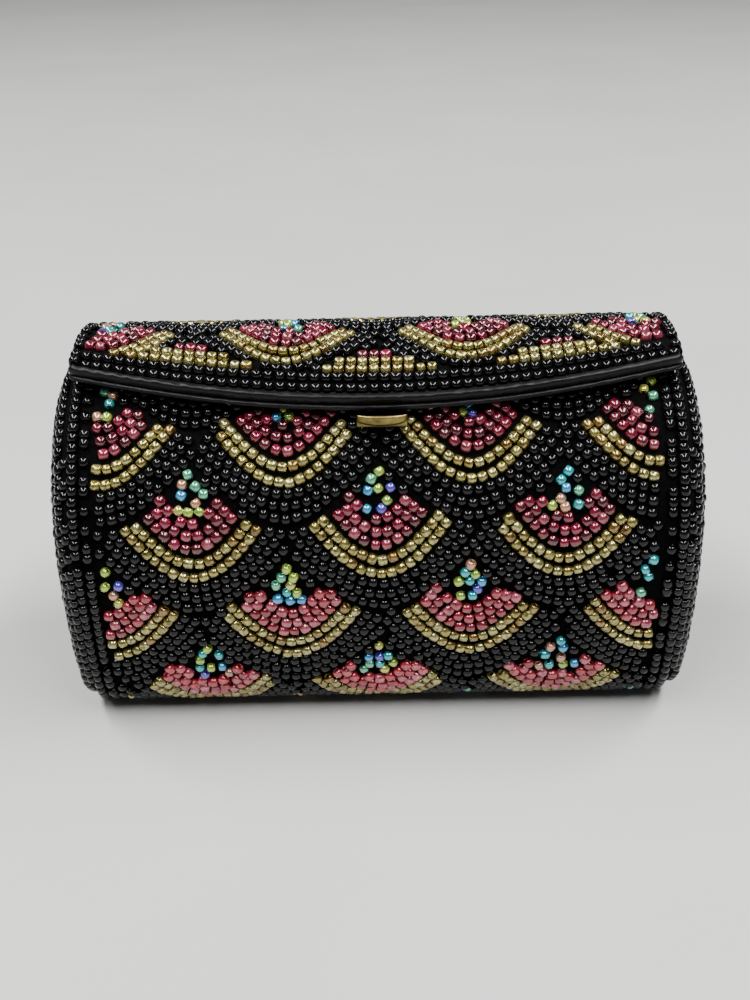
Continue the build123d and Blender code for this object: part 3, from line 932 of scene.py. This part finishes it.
# Satin turned over the lid's two side edges, which hides the edges of its board and frame
def side_binding(side, word):
    rings = []
    middle, inset = HALF + 0.82, 2.85
    last = float(lip_at(side * (LID_HALF - 1.0)))
    soft = Creases(41 + side, (13.0, 6.0, 3.0), 1.3)
    for t in np.linspace(0.2, last + 1.2, 90):
        (y, z), n, d = lid.at(t, inset)
        ring = []
        for j in range(18):
            angle = 2 * math.pi * j / 18
            push = 1 + 0.12 * soft.at(t, angle * 2)
            x = middle + 0.84 * math.copysign(abs(math.cos(angle)) ** 0.7, math.cos(angle)) * push
            rise = 0.93 * math.copysign(abs(math.sin(angle)) ** 0.7, math.sin(angle)) * push
            ring.append((side * x, y + n[0] * rise, z + n[1] * rise))
        rings.append(ring)
    finish_piece(tube(f"lid_side_satin_{word}", rings, "lid"), black_satin, "black_satin")


for side, word in ((-1, "left"), (1, "right")):
    side_binding(side, word)


# Satin bound over the front rim
RIM_SECTION = (
    (-2.35, 1.1),
    (-1.9, 0.9),
    (-0.2, 0.9),
    (0.0, 1.2),
    (0.0, 1.88),
    (-1.83, 1.9),
    (-1.83, 4.1),
    (-2.35, 4.0),
)


def rim_ring(x):
    ring = []
    corners = np.array(RIM_SECTION)
    for a, b in zip(corners, np.roll(corners, -1, 0)):
        for share in (0.25, 0.75):
            t, inset = a + (b - a) * share
            (y, z), n, d = strip.at(t, inset)
            push = 0.09 * band_creases.at(x + 40, t * 3 + inset)
            ring.append((x, y + n[0] * push, z + n[1] * push))
    return ring


rim_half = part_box("front_rim_binding")[1].x / MM
rim = tube("rim_satin", [rim_ring(x) for x in np.linspace(-rim_half, rim_half, 220)], "body")
finish_piece(rim, black_satin, "black_satin", "front_rim_binding")


# Gathered satin linings
def gathered(name, outline, reach, insets, body, node, seed):
    """A lining with small gathers. reach is its first and last t and half its width."""
    t_low, t_high, half = reach
    folds = Creases(seed, (9.0, 5.5, 3.4), 0.12)

    def point(u, v, layer):
        (y, z), n, d = outline.at(v, insets[layer])
        ease = min(1.0, 3 * min(v - t_low, t_high - v) / (t_high - t_low) + 0.15)
        push = 0.42 * ease * (folds.at(u, v) - 0.6)
        return (u, y + n[0] * push, z + n[1] * push)

    piece = thin_solid(name, point, np.linspace(-half, half, 150), np.linspace(t_low, t_high, 110), body)
    finish_piece(piece, lining_satin, "satin_lining", node)


body_reach = (-1.7, strip.length + 1.0, HALF - 1.25)
lid_reach = (0.9, lid.length - LIP_SAG - 0.4, HALF - 0.3)
gathered("body_satin", strip, body_reach, (3.35, 3.75), "body", "body_lining", 17)
gathered("lid_satin", lid, lid_reach, (3.4, 3.72), "lid", "lid_lining", 19)


def end_satin(side, word):
    """The flat satin inside one end."""
    ring = hull(node_points(f"end_lining_{word}")[:, 1:])
    closed = Outline(np.concatenate([ring, ring[:1]]))
    points = closed.raw(np.linspace(0, closed.length, 121)[:-1])
    centre = points.mean(0)
    low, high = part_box(f"end_lining_{word}")
    inner, outer = sorted((abs(low.x) / MM, abs(high.x) / MM))
    folds = Creases(23 + side, (12.0, 7.0), 1.2)
    shares = (0.02, 0.15, 0.3, 0.45, 0.6, 0.75, 0.88, 0.96, 1.0)
    rings = []
    for x, order in ((outer, shares), (inner, shares[::-1])):
        for k in order:
            spots = centre + (points - centre) * k
            rings.append([(side * (x - 0.12 * (folds.at(*q) + 0.6) * (1 - k**4)), *q) for q in spots])
    piece = tube(f"end_satin_{word}", rings, "body")
    finish_piece(piece, lining_satin, "satin_lining", f"end_lining_{word}")


for side, word in ((-1, "left"), (1, "right")):
    end_satin(side, word)


# Brass thumb tab: a leg behind the body's rim, a plate under the frame and a rounded lip that curls up
def thumb_tab():
    low, high = (np.array(c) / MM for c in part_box("catch_tab"))
    middle, half = (low[0] + high[0]) / 2, (high[0] - low[0]) / 2
    thick = 0.27
    nodes = node_points("catch_tab")
    rim_z = nodes[nodes[:, 1] < low[1] + 0.05][:, 2].max()
    leg = nodes[nodes[:, 2] < nodes[nodes[:, 1] > low[1] + 1.5][:, 2].min() + 0.3]
    leg_y = (leg[:, 1].min() + leg[:, 1].max()) / 2
    t = np.linspace(0, lid.length + 6, 400)
    under = lid.at(t, 3.7)[0]
    start_t = float(np.interp(-leg_y, -under[:, 0], t))
    rings = []
    for u in np.linspace(-1, 1, 41):
        curve = math.sqrt(max(0.0, 1 - (0.97 * u) ** 2))
        radius = 0.7 * (0.5 + 0.5 * curve)
        front = low[1] + 0.75 - 1.35 * curve
        stop_t = float(np.interp(-(front + radius), -under[:, 0], t))
        plate = lid.at(np.linspace(start_t, stop_t, 16), 3.7)[0]
        line = [np.array([leg_y, z]) for z in np.linspace(leg[:, 2].min() + 0.2, plate[0][1] - 0.3, 5)]
        line += list(plate[1:])
        d = lid.at(stop_t, 3.7)[2]
        heading = math.atan2(d[1], d[0]) % (2 * math.pi)
        turn = math.pi / 2 - heading
        corner = line[-1]
        for k in range(1, 9):
            angle = heading + turn * (k - 0.5) / 8
            corner = corner + radius * abs(turn) / 8 * np.array([math.cos(angle), math.sin(angle)])
            line.append(corner)
        top = rim_z - 0.3 * (1 - curve)
        line += [np.array([corner[0] - 0.04 * k, corner[1] + (top - corner[1]) * k / 4]) for k in range(1, 5)]
        line = np.array(line)
        tangent = np.gradient(line, axis=0)
        tangent /= np.linalg.norm(tangent, axis=1, keepdims=True)
        aside = np.stack([tangent[:, 1], -tangent[:, 0]], -1)
        cap = line[-1] + tangent[-1] * thick * 0.9
        loop = list(line + aside * thick) + [cap] + list((line - aside * thick)[::-1])
        rings.append([(middle + half * u, *q) for q in loop])
    tab = tube("thumb_tab", rings, "lid")
    finish_piece(tab, brass, "antique_brass", "catch_tab")


thumb_tab()


# CAD nodes that keep their own shape
for node, material in (
    ("body_board", pressed_board),
    ("lid_board", pressed_board),
    ("end_board_left", pressed_board),
    ("end_board_right", pressed_board),
    ("front_rim_rail", brass),
    ("body_hinge_leaf", brass),
    ("catch_keeper", brass),
    ("keeper_rivets", brass),
    ("hinge_pin", brass),
    ("lid_frame", brass),
    ("tab_rivets", brass),
):
    slots = frame["nodes"][node].material_slots
    for index in range(len(slots)):
        slots[index].material = material


# ---------------------------------------------------------------- camera, light and floor

CAMERA_AT = Vector((-0.56, -205.9, 137.2)) * MM
CAMERA_DOWN = math.radians(27.0)
CAMERA_ROLL = math.radians(1.1)
CAMERA_LENS = 46.4
TUBE_SIZE = (1.5, 0.2)
TUBE_POWER = 32.0
WORLD_COLOUR = (0.86, 0.9, 0.92, 1.0)
WORLD_STRENGTH = 0.16
FLOOR_REACH = 3.0
FLOOR_STEPS = 24


def add_camera():
    data = bpy.data.cameras.new("camera")
    data.lens = CAMERA_LENS
    data.sensor_width = 36.0
    data.clip_start = 0.01
    camera = bpy.data.objects.new("camera", data)
    bpy.context.scene.collection.objects.link(camera)
    look = Vector((0, math.cos(CAMERA_DOWN), -math.sin(CAMERA_DOWN)))
    side = Vector((1, 0, 0))
    up = side.cross(look)
    right = side * math.cos(CAMERA_ROLL) - up * math.sin(CAMERA_ROLL)
    above = up * math.cos(CAMERA_ROLL) + side * math.sin(CAMERA_ROLL)
    turn = Matrix((right, above, -look)).transposed()
    camera.matrix_world = Matrix.Translation(CAMERA_AT) @ turn.to_4x4()
    bpy.context.scene.camera = camera


def area_light(name, place, target, size, power):
    data = bpy.data.lights.new(name, "AREA")
    data.shape = "RECTANGLE"
    data.size, data.size_y = size
    data.energy = power
    light = bpy.data.objects.new(name, data)
    bpy.context.scene.collection.objects.link(light)
    light.location = place
    light.rotation_euler = (Vector(target) - Vector(place)).to_track_quat("-Z", "Y").to_euler()


def add_floor():
    line = np.linspace(-FLOOR_REACH, FLOOR_REACH, FLOOR_STEPS)
    verts = [(x, y, 0.0) for y in line for x in line]
    faces = [
        (a, a + 1, a + FLOOR_STEPS + 1, a + FLOOR_STEPS)
        for i in range(FLOOR_STEPS - 1)
        for a in range(i * FLOOR_STEPS, (i + 1) * FLOOR_STEPS - 1)
    ]
    mesh = bpy.data.meshes.new("floor")
    mesh.from_pydata(verts, [], faces)
    floor = bpy.data.objects.new("floor", mesh)
    bpy.context.scene.collection.objects.link(floor)
    mesh.materials.append(floor_material())


def add_world():
    world = bpy.data.worlds.new("studio")
    world.use_nodes = True
    background = world.node_tree.nodes["Background"]
    background.inputs["Color"].default_value = WORLD_COLOUR
    background.inputs["Strength"].default_value = WORLD_STRENGTH
    bpy.context.scene.world = world


add_camera()
add_floor()
add_world()
for side, word in ((-1, "left"), (1, "right")):
    area_light(f"tube_{word}", (side * 0.5, -0.15, 1.0), (0, 0, 0.04), TUBE_SIZE, TUBE_POWER)
